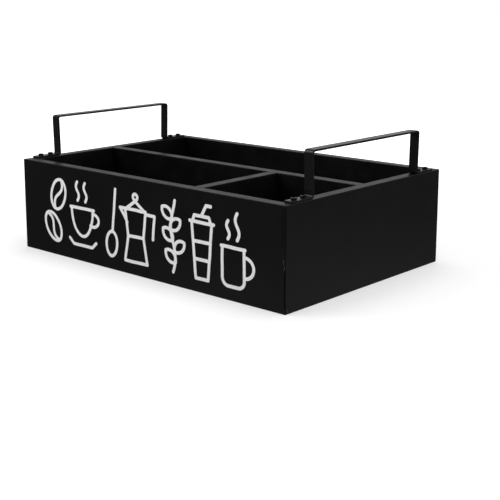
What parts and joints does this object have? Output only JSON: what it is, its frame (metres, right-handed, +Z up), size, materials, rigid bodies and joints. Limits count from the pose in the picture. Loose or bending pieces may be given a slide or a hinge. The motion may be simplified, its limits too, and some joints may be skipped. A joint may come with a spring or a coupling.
{
  "type": "coffee station organizer",
  "caption": "Open painted board box with divided compartments and a flat strap carrying handle on each end, for keeping coffee things on a worktop.",
  "frame": {"origin": "middle of the underside, at the level of the surface that the box stands on", "axes": "+X along the width towards the end with the small front compartment, -Y out of the front face, +Z up"},
  "size_m": [0.3, 0.2, 0.1153],
  "materials": {
    "board_paint": "satin black paint over fibreboard",
    "handle_coat": "satin black powder coat",
    "screw_finish": "black oxide, slightly glossy",
    "brad_steel": "bright drawn wire"
  },
  "bodies": {
    "root": {"front_panel": "board_paint", "back_panel": "board_paint", "left_side_panel": "board_paint", "right_side_panel": "board_paint", "bottom_panel": "board_paint", "long_divider": "board_paint", "short_divider": "board_paint", "left_handle": "handle_coat", "right_handle": "handle_coat", "left_handle_front_outer_screw": "screw_finish", "left_handle_front_inner_screw": "screw_finish", "left_handle_rear_outer_screw": "screw_finish", "left_handle_rear_inner_screw": "screw_finish", "right_handle_front_outer_screw": "screw_finish", "right_handle_front_inner_screw": "screw_finish", "right_handle_rear_outer_screw": "screw_finish", "right_handle_rear_inner_screw": "screw_finish", "corner_brads": "brad_steel", "divider_brads": "brad_steel", "bottom_brads": "brad_steel"}
  },
  "joints": []
}
